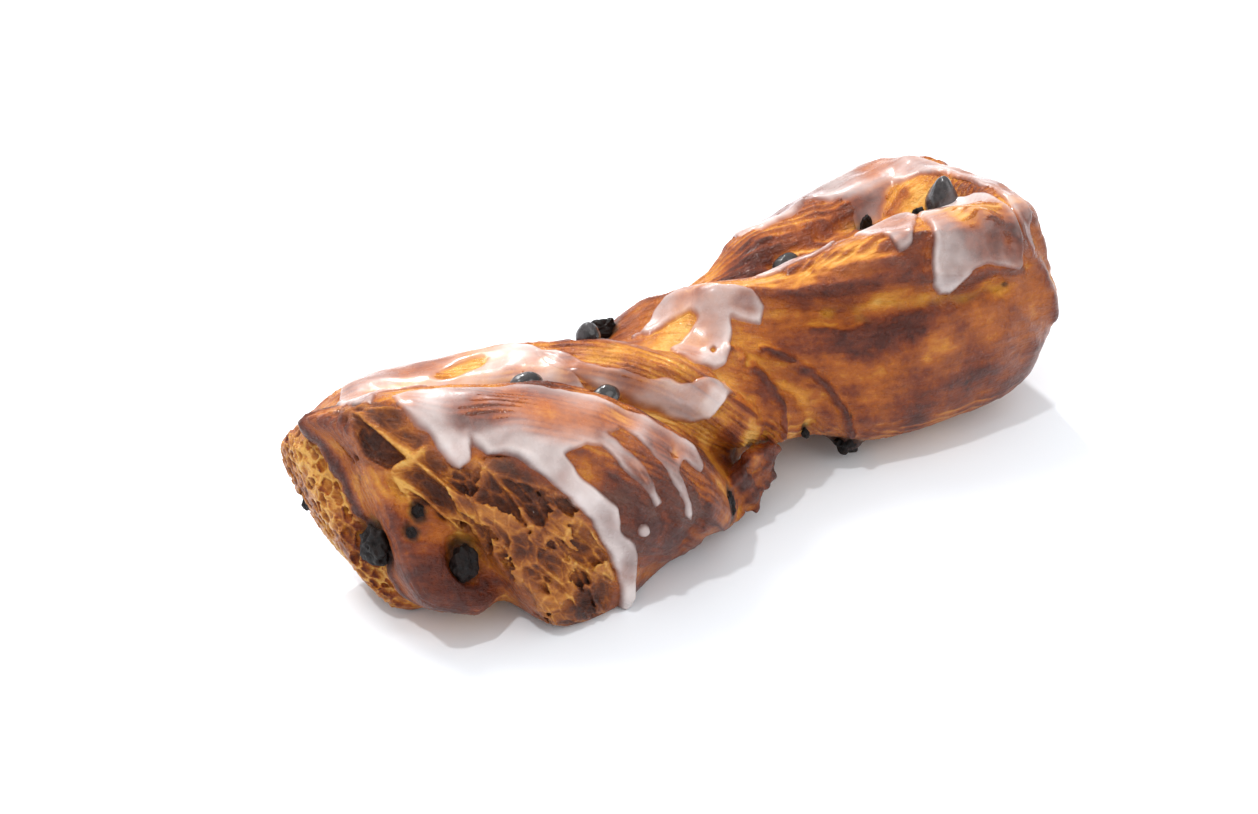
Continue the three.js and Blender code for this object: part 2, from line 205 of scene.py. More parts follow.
# a runs across the cut sides and b across the sheets, both turning with the twist
def acrossAndThrough(p, y, z):
    turn = np.radians(p["turn"])
    dy, dz = y - p["y"], z - p["z"]
    return -np.sin(turn) * dy + np.cos(turn) * dz, -np.cos(turn) * dy - np.sin(turn) * dz


# degrees around the section's middle, and the distance from it
def around(p, y, z):
    dy, dz = y - p["y"], z - p["z"]
    return np.degrees(np.arctan2(-dy, dz)), np.hypot(dy, dz)


def sheetDistance(a, b, middle, thick, half, corner):
    qa = np.abs(a) - (half - corner)
    qb = np.abs(b - middle) - (thick - corner)
    return np.hypot(np.maximum(qa, 0), np.maximum(qb, 0)) + np.minimum(np.maximum(qa, qb), 0) - corner


# distance to the plain dough's surface, less than zero inside
def doughDistance(x, y, z):
    p = sectionAt(x)
    a, b = acrossAndThrough(p, y, z)
    across = np.clip(a / p["halfA"], -1.3, 1.3)
    first, second = np.maximum(across, 0) ** 2, np.maximum(-across, 0) ** 2
    middleA = p["offA"] - 1 + p["leanA1"] * first + p["leanA2"] * second
    middleB = -(p["offB"] - 1 + p["leanB1"] * first + p["leanB2"] * second)
    crown = 1 - twist["crownThinning"] * across**2
    sheetA = sheetDistance(a, b, middleA, p["thickA"] * crown, p["halfA"], twist["corner"])
    sheetB = sheetDistance(a, b, middleB, p["thickB"] * crown, p["halfB"], twist["corner"])
    setBack, slant, lowerSlant, rounding = twist["frontEnd"]
    slants = np.where(across > 0, slant, lowerSlant)
    front = (nearX + setBack - slants * across - x) * twist["frontSlope"]
    sheetA = softMax(sheetA, front, rounding)
    under, below, blend = twist["nearTuck"]
    nearEnd = nearX + under * np.clip(1 - z / below, 0, 1) ** 2
    sheetB = softMax(sheetB, nearEnd - x, blend)
    until, over = twist["nearFill"]
    near = np.clip((until - p["s"]) / over, 0, 1)
    start, over = twist["farPool"]
    far = np.clip((p["s"] - start) / over, 0, 1)
    share, nearShare, farShare = twist["webShare"]
    webThick, webBack, webCorner, webBlend = twist["web"]
    shift, thicker = twist["webNear"]
    gap = (p["offA"] + p["offB"]) / 2
    web = sheetDistance(a, b, (p["offA"] - p["offB"]) / 2 + shift * near,
                        np.minimum(gap, webThick) + thicker * near + twist["webFar"] * far,
                        p["halfA"] * (share + nearShare * near + farShare * far), webCorner)
    web = softMax(web, nearEnd + webBack - x, webBlend)
    d = softMin(softMin(sheetA, sheetB, twist["sheetBlend"]), web, webBlend)
    roundX, depth, lean, tuck, spread = twist["farEnd"]
    leanOver, leanFrom = twist["farLean"]
    leaning = x - lean * np.clip(z / leanOver - leanFrom, 0, 1)
    leaning = leaning + tuck * np.clip(1 - z / twist["farTuck"], 0, 1) ** 2
    along = np.maximum(leaning - (twist["length"] / 2 - roundX), 0) / depth
    share, wider, blend = twist["farRound"]
    radius = share * np.hypot(a / (p["halfA"] + spread), b / (gap + p["thickA"] + wider))
    d = softMax(d, (np.hypot(along, radius) - 1) * depth, blend)
    return softMax(d, -z, twist["ground"])


# the block of cells that the dough, and then the icing, is carved from
block = {
    "cell": 0.5,
    "low": (-98, -47, -3),
    "high": (100, 37, 60),
    "band": 4.0,                   # how far from the surface relief is carved
    "skin": 3.0,                   # and how far from it the surface's distances are kept
}
axesOf = [np.arange(lo, hi, block["cell"], dtype=np.float32) for lo, hi in zip(block["low"], block["high"])]
shape = tuple(len(axis) for axis in axesOf)


def plainField():
    field = np.empty(shape, np.float32)
    y, z = axesOf[1][None, :, None], axesOf[2][None, None, :]
    for start in range(0, shape[0], 40):
        x = axesOf[0][start:start + 40, None, None]
        field[start:start + 40] = doughDistance(x, y, z)
    return field


# average over a box of cells, one axis after another
def blurred(field, reach):
    for axis in range(3):
        total = np.cumsum(np.pad(field, [(reach + 1, reach) if k == axis else (0, 0) for k in range(3)],
                                 mode="edge"), axis=axis, dtype=np.float64)
        high = np.take(total, np.arange(2 * reach + 1, total.shape[axis]), axis=axis)
        low = np.take(total, np.arange(0, total.shape[axis] - 2 * reach - 1), axis=axis)
        field = ((high - low) / (2 * reach + 1)).astype(np.float32)
    return field


# value of a field at points between its cells
def sample(field, points):
    place = (points - np.array(block["low"])) / block["cell"]
    base = np.clip(np.floor(place).astype(np.int32), 0, np.array(shape) - 2)
    part = (place - base).astype(np.float32)
    total = 0
    for du in (0, 1):
        for dv in (0, 1):
            for dw in (0, 1):
                share = 1
                for k, d in enumerate((du, dv, dw)):
                    share = share * (part[:, k] if d else 1 - part[:, k])
                total = total + share * field[base[:, 0] + du, base[:, 1] + dv, base[:, 2] + dw]
    return total


# and the way that it rises there
def slopeAt(field, points):
    steps = np.eye(3) * block["cell"]
    rise = np.stack([sample(field, points + step) - sample(field, points - step) for step in steps], axis=1)
    return rise / (np.linalg.norm(rise, axis=1, keepdims=True) + 1e-9)


# distance in millimetres from points at (x, degrees) to a line drawn on the pastry
def lineDistance(x, angle, r, line):
    scale = np.radians(r)
    nearest = np.full(x.shape, 1e3, np.float32)
    for (x0, g0), (x1, g1) in zip(line[:-1], line[1:]):
        ex, eg = x1 - x0, (g1 - g0) * scale
        px, pg = x - x0, (angle - g0) * scale
        t = np.clip((px * ex + pg * eg) / (ex * ex + eg * eg + 1e-9), 0, 1)
        nearest = np.minimum(nearest, np.hypot(px - t * ex, pg - t * eg))
    return nearest


# distance in millimetres to a closed outline, more than zero inside
def outlineDepth(x, angle, r, outline):
    nearest = lineDistance(x, angle, r, list(outline) + [outline[0]])
    inside = np.zeros(x.shape, bool)
    for (x0, g0), (x1, g1) in zip(outline, list(outline[1:]) + [outline[0]]):
        crosses = (g0 > angle) != (g1 > angle)
        inside ^= crosses & (x < (x1 - x0) * (angle - g0) / ((g1 - g0) or 1e-9) + x0)
    return np.where(inside, nearest, -nearest)


# how much a soft oval spot at (x, degrees) covers each point, from 0 to 1
def spot(x, angle, centre, reach):
    away = np.hypot((x - centre[0]) / reach[0], (angle - centre[1]) / reach[1])
    return 1 - ease(0.4, 1.2, away)


# Shape of the baked dough's surface.
relief = {
    "lumps": ((13.0, 0.9), (6.0, 0.4)),      # size and height
    "endLumps": 0.5,                         # how much lower they are on the near end
    "foldBumps": 2.6,
    "stretch": (11.0, 2.1, 0.25),            # length, width and height of the stretch wrinkles
    "waist": ((12, 60), 0.7, 0.8),           # where they are strongest, and how strong off it and on it
    "blisters": ((2.4, 0.13), (1.3, 0.07)),
    "layers": (1.7, 0.5),                    # spacing and height of the layers on the cut sides
    "layerWarp": (5.0, 0.9),
    "layerBreaks": (2.5, 0.6, 0.4),
    "endLayers": 0.5,
    "crumbFrame": (0.7, 0.2),                # how far the crumb's walls and their strands stand out
    "endRidge": (4.8, 1.6, 1.6),             # place, width and height of the ridge on the end
    "ridgeX": (-81, -86),
    "ridgeA": (25, 18),
    "aboveTable": (0.5, 4),                  # from flat on the table to full relief
    "onTable": 0.25,                         # share of the lumps that is left on the table
    "tableEdge": 1.0,
    "leastFaces": 2000,                      # smaller loose crumbs are left out
    "flakeBite": (0.9, 2.4),                 # height and size of the bites in the flakes
    "flakeJoin": 1.2,                        # how softly they grow out of the dough
    "flakeFoot": (0.3, 0.5),
    "chipMoat": (0.9, 0.6),                  # width and depth of the groove around each chip
    "moatAt": 0.3,
    "widerMoats": {1: (1.8, 1.8), 2: (1.6, 1.6), 16: (2.5, 1.6), 17: (4.2, 2.8)},
}
# Folds along the twist: points, height, width, then roughness.
folds = [
    ([(6, -6), (12, 4), (20, 18), (28, 28), (40, 35), (52, 40), (66, 48), (80, 54)], 1.2, 2.0, 0.1),
    ([(14, 18), (24, 32), (34, 41), (46, 46), (60, 52), (74, 58)], -1.6, 3.0, 0.1),
    ([(13, 45), (19, 60), (25, 78), (29, 96), (31, 112)], 1.7, 1.2, 0.6),
    ([(9, 50), (15, 68), (20, 88), (22, 110)], -1.5, 2.2, 0.1),
    ([(5, 33), (8, 46), (11, 62), (13, 80), (12, 104)], 1.5, 1.4, 0.7),
    ([(0, 46), (4, 60), (7, 76), (8, 100)], -1.0, 1.6, 0.2),
    ([(-6, 62), (-2, 76), (1, 92), (0, 110)], 1.0, 1.8, 0.6),
    ([(-32, 2), (-22, 16), (-12, 30), (-4, 44)], 0.7, 2.0, 0.1),
    ([(-26, -8), (-14, 4), (-4, 18), (4, 34)], 0.6, 1.8, 0.1),
    ([(-6, -14), (6, 0), (16, 16), (26, 30)], 0.6, 1.8, 0.1),
    ([(-28, 36), (-22, 46), (-16, 58), (-12, 72)], 0.8, 1.4, 0.2),
    ([(-26, 28), (-18, 40), (-11, 54), (-7, 68)], -0.9, 1.6, 0.2),
    ([(26, 14), (38, 20), (50, 28), (62, 36)], -0.7, 2.0, 0.1),
    ([(28, 8), (40, 13), (52, 20), (60, 28)], 0.6, 1.6, 0.2),
    ([(34, 58), (40, 66), (48, 74), (58, 80)], 0.7, 3.0, 0.5),
    ([(26, 44), (34, 52), (42, 57), (50, 62)], 0.7, 1.4, 0.5),
    ([(60, 46), (72, 62), (80, 78), (84, 96)], 0.7, 2.4, 0.1),
    ([(70, 20), (82, 40), (88, 60), (90, 84)], 0.9, 2.0, 0.2),
    ([(74, 8), (84, 24), (89, 44), (92, 66)], -0.8, 1.8, 0.2),
    ([(-46, 48), (-41, 60), (-37, 74), (-35, 92)], 0.7, 1.6, 0.6),
    ([(-40, 46), (-35, 60), (-31, 76), (-29, 94)], -0.6, 1.4, 0.4),
    ([(-36, 44), (-31, 58), (-27, 74), (-26, 92)], 0.6, 1.4, 0.5),
    ([(-24, 62), (-21, 76), (-20, 92), (-22, 110)], -0.8, 1.6, 0.3),
    ([(30, -44), (42, -46), (54, -46), (66, -42), (76, -34)], 0.9, 2.2, 0.3),
    ([(30, -34), (42, -36), (54, -38), (64, -36)], -0.6, 1.8, 0.3),
    ([(71, 0), (76, 4), (80, 7)], -3.0, 4.2, 0.0),
    ([(66, 8), (72, 14), (80, 16)], -1.0, 3.0, 0.0),
]
# The cut end of the front sheet, where the baked layers stand open.
openLayers = [
    (-81, -8), (-77, 2), (-76, 14), (-72, 34), (-62, 40), (-54, 58), (-48, 80), (-43, 100), (-44, 124),
    (-60, 126), (-66, 104), (-70, 86), (-77, 66), (-83, 40), (-88, 10), (-88, -20),
]
# Ragged flakes under the waist, and the lump around a burnt chip: place, half sizes, turn about Y
# and lean about X in degrees.
flakes = [
    ((-4.5, -30.5, 13.0), (4.6, 0.9, 4.2), 24, 12),
    ((-0.5, -28.5, 10.5), (3.4, 0.8, 3.4), 52, -8),
    ((1.5, -27.0, 12.5), (6.5, 1.6, 5.0), 35, 10),
    ((4.6, -28.4, 11.6), (3.4, 0.9, 3.2), 20, 14),
    ((8.2, -27.2, 15.6), (3.2, 0.9, 2.4), 45, 6),
    ((1.2, -29.4, 7.4), (2.8, 0.9, 2.6), 62, -6),
    ((36.6, -22.6, 9.0), (4.6, 3.0, 3.6), 10, 0),
    ((-7.5, -32.0, 9.5), (2.6, 0.9, 3.0), 70, 5),
    ((-12.5, -33.6, 10.5), (1.6, 1.0, 3.4), 20, 0),
    ((0.9, -28.6, 13.6), (6.2, 1.2, 4.4), 50, 8),
    ((-2.5, -30.0, 8.2), (3.2, 1.1, 3.0), 35, -6),
    ((6.2, -27.4, 16.4), (2.8, 1.1, 2.4), 30, 10),
    ((2.0, -27.0, 9.0), (3.0, 2.2, 3.0), 40, 0),
    ((0.5, -26.0, 7.6), (2.0, 0.8, 1.8), 10, 20),
]


def chipBoxes():
    boxes = {}
    shift = np.array(twist["standsAt"])
    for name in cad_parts:
        if name.startswith("chocolate_chip"):
            low, high = (np.array(corner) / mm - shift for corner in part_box(name))
            boxes[name] = ((low + high) / 2, (high - low) / 2)
    return boxes


chips = chipBoxes()


def chipDistance(x, y, z, name):
    centre, half = chips[name]
    u, v, w = (x - centre[0]) / half[0], (y - centre[1]) / half[1], (z - centre[2]) / half[2]
    return (np.sqrt(u * u + v * v + w * w) - 1) * float(np.mean(half))


# how far a surface must turn to count as a cut side, or as the near end
facingLimits = {
    "carved": {"cut": (0.45, 0.8), "end": (0.25, 0.55)},
    "painted": {"cut": (0.5, 0.85), "end": (0.3, 0.6)},
    "sideways": (0.3, 0.6),
    "endX": (-40, -52),
}


# how much a surface with this normal is a cut side, a sheet's face and the near end, from 0 to 1
def facing(p, x, nx, ny, nz, use):
    turn = np.radians(p["turn"])
    outCut = np.abs(-np.sin(turn) * ny + np.cos(turn) * nz)
    outFace = np.abs(-np.cos(turn) * ny - np.sin(turn) * nz)
    limits = facingLimits[use]
    cut = ease(*limits["cut"], outCut) * (1 - ease(*facingLimits["sideways"], np.abs(nx)))
    end = ease(*limits["end"], -nx) * ease(*facingLimits["endX"], x)
    return cut, outFace, end


openEdge = {
    "until": -38,
    "soft": (-1, 1.5),
    "ragged": (1.2, 4.0),          # height and size of the bites in its edge
    "endX": (-82, -86),            # where the back sheet's end opens
    "endB": 2.6,
}
perDegree = 0.45                   # millimetres for one degree around, about the mean
leastOpen = 0.02


# how far a point is in the open layers of the two sheets' cut ends, from 0 to 1
def openness(x, b, angle, r, end):
    opened = np.zeros(x.shape, np.float32)
    near = np.nonzero(x < openEdge["until"])[0]
    depth = outlineDepth(x[near], angle[near], r[near], openLayers)
    bite, size = openEdge["ragged"]
    depth += bite * noise(x[near], angle[near] * perDegree, depth * 0, size, 31.0)
    opened[near] = ease(*openEdge["soft"], depth)
    ragged = b + bite * noise(x, angle * 0.4, b, size, 7.5)
    backEnd = ease(*openEdge["endX"], x) * ease(relief["endRidge"][0], openEdge["endB"], ragged)
    return np.maximum(opened, end * backEnd)


# The bubbles of the torn crumb: the big ones of the front sheet's cut end, the small ones between
# them, and those of the back sheet's end. deep is their third side beside their length, shallow the
# least depth, and strand the width of the walls between them, with how strong the faintest is.
crumb = {
    "pockets": {"length": 11.0, "width": 4.2, "depth": 2.6, "deep": 0.7, "wall": 0.4, "shallow": 0.35,
                "strand": 0.1, "faint": (0.8, 0.0)},
    "strands": {"length": 6.0, "width": 2.0, "depth": 1.3, "deep": 0.6, "wall": 0.4, "shallow": 0.3,
                "strand": 0.2, "faint": (0.3, 0.7)},
    "backEnd": {"length": 3.6, "width": 1.9, "depth": 1.5, "deep": 0.8, "wall": 0.45, "shallow": 0.25,
                "strand": 0.22, "faint": (0.5, 0.5)},
    "backFrom": (6, 4),
    "slant": (0.6, 0.8),
}


def crumbCells(kind, along, through, inward, shift=0):
    form = crumb[kind]
    wall, cell = bubbles(along / form["length"] + shift, through / form["width"],
                         inward / (form["deep"] * form["length"]))
    hollow = form["depth"] * ease(0.0, form["wall"], wall) * (form["shallow"] + (1 - form["shallow"]) * cell)
    faint, more = form["faint"]
    return hollow, (faint + more * cell) * np.exp(-(wall / form["strand"]) ** 2)


# how deep each point lies under the torn surface, and how close it is to a strand
def crumbAt(x, a, b):
    backSheet = ease(*crumb["backFrom"], b)
    less, more = crumb["slant"]
    along, inward = less * x - more * a, more * x + less * a
    bent = b + 1.5 * noise(along / 2, inward, b, 6.0, 1.0)
    hollow, strand = crumbCells("pockets", along, bent, inward)
    smallHollow, smallStrand = crumbCells("strands", along, bent, inward, 9)
    dense = ease(-0.3, 0.15, noise(x, a, b, 8.0, 6.0))
    hollow += dense * smallHollow
    strand = np.maximum(strand, dense * smallStrand)
    bent = b + 0.6 * noise(x, a / 2, b, 4.0, 3.0)
    endHollow, endStrand = crumbCells("backEnd", a, bent, x)
    return hollow + (endHollow - hollow) * backSheet, strand + (endStrand - strand) * backSheet


# a thin ragged slab of torn crust, joined to the dough
def addFlake(field, place, half, turnY, leanX):
    reach = max(half) + 3
    box = tuple(slice(max(int((c - reach - low) / block["cell"]), 0), int((c + reach - low) / block["cell"]))
                for c, low in zip(place, block["low"]))
    x, y, z = np.meshgrid(*(axis[part] for axis, part in zip(axesOf, box)), indexing="ij")
    dx, dy, dz = x - place[0], y - place[1], z - place[2]
    cy, sy = math.cos(math.radians(turnY)), math.sin(math.radians(turnY))
    cx, sx = math.cos(math.radians(leanX)), math.sin(math.radians(leanX))
    dx, dz = cy * dx + sy * dz, -sy * dx + cy * dz
    dy, dz = cx * dy + sx * dz, -sx * dy + cx * dz
    beyond = np.stack([np.abs(d) - h for d, h in zip((dx, dy, dz), half)])
    slab = np.sqrt((np.maximum(beyond, 0) ** 2).sum(axis=0)) + np.minimum(beyond.max(axis=0), 0)
    height, size = relief["flakeBite"]
    slab += height * noise(x, y, z, size, 6.0) - 0.2
    foot, rounding = relief["flakeFoot"]
    slab = softMax(slab, foot - z, rounding)
    field[box] = softMin(field[box], slab, relief["flakeJoin"])


def buildDough():
    field = plainField()
    print("dough: plain form", shape)
    slopes = np.gradient(field, block["cell"])
    band = np.abs(field) < block["band"]
    where = np.nonzero(band)
    x, y, z = (axis[i] for axis, i in zip(axesOf, where))
    nx, ny, nz = (slope[where] for slope in slopes)
    size = np.sqrt(nx * nx + ny * ny + nz * nz) + 1e-6
    nx, ny, nz = nx / size, ny / size, nz / size
    del slopes
    p = sectionAt(x)
    a, b = acrossAndThrough(p, y, z)
    angle, r = around(p, y, z)
    cut, _, end = facing(p, x, nx, ny, nz, "carved")
    low = sum(height * noise(x, y, z, lump, k + 0.3) for k, (lump, height) in enumerate(relief["lumps"]))
    low = low * (1 - relief["endLumps"] * end)
    for k, (line, height, width, rough) in enumerate(folds):
        reach = 3 * width
        xs = [point[0] for point in line]
        near = np.nonzero((x > min(xs) - reach) & (x < max(xs) + reach))[0]
        away = lineDistance(x[near], angle[near], r[near], line)
        wobble = 1 + rough * noise(x[near], y[near], z[near], relief["foldBumps"], 3.1 * k)
        low[near] += height * wobble * np.exp(-(away / width) ** 2)
    length, width, height = relief["stretch"]
    (inner, outer), least, more = relief["waist"]
    drawn = x / length * width
    stretch = noise(drawn, a, b, width, 5.0) + 0.5 * noise(drawn, a, b, width / 2, 8.0)
    fineRelief = height * (least + more * (1 - ease(inner, outer, np.abs(x)))) * stretch * (1 - end)
    fineRelief += sum(h * noise(x, y, z, s, 9.0 + s) for s, h in relief["blisters"])
    spacing, height = relief["layers"]
    size, bend = relief["layerWarp"]
    ridge = np.abs(np.sin(np.pi * (b + bend * noise(x / 3, a, b, size, 2.2)) / spacing)) * 2 - 1
    size, even, uneven = relief["layerBreaks"]
    broken = even + uneven * noise(x / 3, a, b, size, 4.4)
    fineRelief += height * ridge * broken * np.maximum(cut, relief["endLayers"] * end)
    opened = openness(x, b, angle, r, end)
    ends = np.nonzero(opened > leastOpen)[0]
    hollow, strand = crumbAt(x[ends], a[ends], b[ends])
    wallRise, strandRise = relief["crumbFrame"]
    fineRelief[ends] -= (hollow - wallRise - strandRise * strand) * opened[ends]
    place, width, height = relief["endRidge"]
    ridge = np.exp(-((b - place) / width) ** 2)
    ridge = ridge * ease(*relief["ridgeX"], x) * ease(*relief["ridgeA"], np.abs(a))
    low += height * ridge * (1 + 0.5 * noise(x, y, z, 3.0, 6.6))
    above = ease(*relief["aboveTable"], z)
    least = relief["onTable"]
    lowField = field[where] - low * (least + (1 - least) * above)
    full = lowField - fineRelief * above
    for number, name in enumerate(sorted(chips), 1):
        away = chipDistance(x, y, z, name)
        width, depth = relief["widerMoats"].get(number, relief["chipMoat"])
        full += depth * np.exp(-((away - relief["moatAt"]) / width) ** 2) * (away < 3 * width + 1)
    full = softMax(full, -z, relief["tableEdge"])
    lowField = softMax(lowField, -z, relief["tableEdge"])
    smooth = field.copy()
    smooth[where] = lowField
    field[where] = full
    for flake in flakes:
        addFlake(field, *flake)
    return field, smooth


# a mesh from the zero surface of a field over part of the block
def surfaceOf(field, lowCell=(0, 0, 0)):
    grid = vdb.FloatGrid()
    grid.background = block["skin"]
    grid.copyFromArray(np.clip(field, -block["skin"], block["skin"]).astype(np.float32))
    points, quads = grid.convertToQuads(isovalue=0.0)
    origin = np.array(block["low"]) + np.array(lowCell) * block["cell"]
    points = points * block["cell"] + origin
    corners = points[quads]
    crossed = np.cross(corners[:, 2] - corners[:, 0], corners[:, 3] - corners[:, 1])
    if np.einsum("ij,ij->", crossed, corners.mean(axis=1) - points.mean(axis=0)) < 0:
        quads = quads[:, ::-1]
    return points, quads


# the same mesh without the loose crumbs that have fewer faces than this
def withoutCrumbs(points, quads, least):
    label = np.arange(len(points))
    while True:
        lowest = label[quads].min(axis=1)
        lower = label.copy()
        for corner in quads.T:
            np.minimum.at(lower, corner, lowest)
            np.minimum.at(lower, label[corner], lowest)
        lower = lower[lower]
        if (lower == label).all():
            break
        label = lower
    faces = np.bincount(label[quads[:, 0]], minlength=len(points))
    kept = quads[faces[label[quads[:, 0]]] >= least]
    used = np.unique(kept)
    place = np.zeros(len(points), np.int64)
    place[used] = np.arange(len(used))
    return points[used], place[kept]


def meshPiece(name, points, quads, values=None):
    mesh = bpy.data.meshes.new(name)
    shifted = (points + np.array(twist["standsAt"])) * mm
    mesh.from_pydata(shifted.tolist(), [], quads.tolist())
    mesh.shade_smooth()
    for key, value in (values or {}).items():
        kind = "FLOAT_VECTOR" if value.ndim == 2 else "FLOAT"
        layer = mesh.attributes.new(key, kind, "POINT")
        layer.data.foreach_set("vector" if value.ndim == 2 else "value", value.astype(np.float32).ravel())
    piece = bpy.data.objects.new(name, mesh)
    scene.collection.objects.link(piece)
    return piece


# Icing patches, drawn as (x, degrees), with their brown islands, and where they run thin or thick:
# spots of (x, degrees), reach, and change of thickness.
icing = {
    "thick": 0.75,
    "under": 0.8,
    "edge": (-1.5, 1.3),
    "bead": (1.3, 0.9, 0.18),
    "wobble": ((6.0, 0.8), (2.2, 0.4)),
    "spread": 0.6,
    "rounding": 0.5,
    "aboveTable": 0.3,
    "foot": 0.3,
    "margin": 6,
    "bare": -1.9,                  # the sheet's height outside its outline, where the dough hides it
    "milky": (-0.1, 1.55),         # thickness at which it starts to veil, and is all white
    "leastFaces": 60,              # smaller drops are left out
    "fineShare": 0.25,             # how much of the dough's finest relief changes that thickness
    "cloudy": ((9.0, 0.3), (4.0, 0.14)),
}
icingOutlines = {
    "icing_near_drape": [
        (-77, -4), (-77.5, 2), (-76.5, 10), (-74.5, 19), (-72.5, 32), (-71, 37), (-69, 36.5), (-68, 30),
        (-67, 27), (-66, 32), (-65, 36.5), (-62, 38), (-60, 41.5), (-57, 49), (-54, 58), (-50.5, 65),
        (-48.5, 76), (-46.5, 88), (-43.5, 97), (-42, 106), (-41.5, 116), (-41.5, 127), (-38, 127),
        (-37.2, 112), (-37.5, 100), (-39, 92), (-41, 84), (-41.5, 74), (-45, 65), (-49, 55), (-50, 47),
        (-45, 45.5), (-41.5, 48), (-39, 57), (-35.5, 66), (-32.5, 78), (-30.8, 78), (-33.2, 62),
        (-36, 52), (-38, 44.5), (-34.5, 44), (-31.5, 49), (-29.8, 60), (-27.6, 70), (-25.8, 86),
        (-23.3, 92), (-23.2, 82), (-24.5, 68), (-22, 66), (-19, 74), (-17, 72), (-17.5, 62), (-21, 52),
        (-26, 42), (-33, 30), (-42, 16), (-50, 8), (-60, 1), (-70, -4),
    ],
    "icing_near_crest": [
        (-85, -30), (-84, -12), (-82, -4), (-80, -10), (-78, -16), (-72, -14), (-66, -14), (-61, -18),
        (-57, -16), (-50, -6), (-43, 3), (-37, 10), (-33, 10), (-33, -6), (-37, -22), (-44, -34),
        (-54, -46), (-66, -56), (-76, -56), (-82, -46),
    ],
    "icing_middle_ribbon": [
        (-38, -22), (-34, -14), (-27, 6), (-20, 20), (-15, 31), (-7, 38), (1, 47), (1, 56), (-3, 52),
        (-6, 55), (-8, 60), (-12, 56), (-17.5, 41), (-23.5, 29), (-29, 16), (-34, 4), (-38, -8),
    ],
    "icing_waist_pool": [
        (-9, -34), (-4, -30), (1.6, -26), (6, -15), (10, -1), (16.4, 11), (18, 21), (15.3, 28),
        (12, 22), (9.3, 16), (8, 24), (6, 31), (2.8, 36), (0, 34), (-4, 24), (-7, 13), (-6, 4), (-1, 2),
        (3, 2), (2, -6), (-2, -14), (-6, -22),
    ],
    "icing_far_rim": [
        (34, -58), (40, -51), (48, -52), (56, -56), (66, -50), (76, -44), (82, -34), (84.5, -20),
        (85.5, -4), (86, 12), (85, 28), (83.5, 42), (85, 52), (87.5, 48), (89.5, 34), (91, 16),
        (91, -4), (90.5, -22), (88, -42), (82, -60), (74, -68), (60, -72), (46, -72), (36, -68),
    ],
    "icing_lip_streak": [
        (20, -3), (26, -3), (32, -4), (38, -4), (42, -3), (44, 2), (40, 8), (34, 10), (27, 6), (22, 2),
    ],
    "icing_lip_patch": [
        (48, 4), (54, 2), (60, 2), (64, 6), (62, 14), (58, 20), (54, 28), (50, 28), (49, 16),
    ],
    "icing_far_pool": [
        (56, 45), (57, 36), (60, 26), (62, 17), (65, 10), (69, 5), (73, 3), (77, 5), (80, 4), (82.5, 9),
        (83.5, 20), (84.5, 32), (84, 44), (82, 53), (79, 54), (75, 49), (70, 46), (66, 46), (63, 48),
        (60, 51), (57.5, 50),
    ],
}
icingSpots = [
    ((-63, 33), (9, 7), 0.3),
    ((-55, 45), (7, 9), 0.35),
    ((-48, 62), (5, 13), 0.3),
    ((-68, 14), (6, 8), 0.2),
    ((-36, 30), (8, 8), 0.15),
    ((-58, 18), (12, 11), -0.5),
    ((-66, 14), (7, 9), -0.35),
    ((-44, 30), (10, 11), -0.4),
    ((-34, 40), (8, 8), -0.35),
    ((-26, 56), (6, 12), -0.5),
    ((-22, 72), (5, 16), -0.35),
    ((-34, 62), (4, 14), -0.4),
    ((-40, 120), (3, 9), 0.9),
    ((-44, 96), (3, 12), 0.25),
    ((-71, 28), (4, 9), 0.35),
    ((-58, 40), (5, 7), 0.3),
    ((-6, 50), (5, 7), 0.5),
    ((-22, 18), (9, 10), -0.45),
    ((-30, 2), (8, 12), -0.5),
    ((4, -10), (8, 10), -0.3),
    ((12, 16), (5, 7), -0.2),
    ((1, 26), (4, 7), 0.3),
    ((2, 25), (0.9, 2.2), -1.4),
    ((-54, -30), (7, 4), -1.6),
    ((-62, -36), (8, 9), -0.3),
    ((-44, -10), (8, 8), -0.35),
    ((80, 32), (4, 12), -0.35),
    ((72, 32), (10, 19), -0.58),
    ((78, 24), (5, 10), -0.15),
    ((80, 46), (4, 9), -0.3),
    ((66, 14), (3, 6), 0.3),
    ((56, 12), (6, 9), -0.35),
    ((50, -62), (14, 7), -0.4),
    ((78, -54), (8, 9), -0.35),
    ((88, 0), (6, 26), -0.35),
    ((87, 46), (6, 16), -0.5),
    ((34, 2), (8, 5), -0.3),
]


icingDrops = {"icing_near_drape": [((-36.4, 87), (2.1, 5.0), 2.7)]}


def icingDepth(x, angle, r, name):
    depth = outlineDepth(x, angle, r, icingOutlines[name]) + icing["spread"]
    flat = np.zeros(x.shape, np.float32)
    for k, (size, height) in enumerate(icing["wobble"]):
        depth = depth + height * noise(x, angle * perDegree, flat, size, 20.0 + k)
    return depth


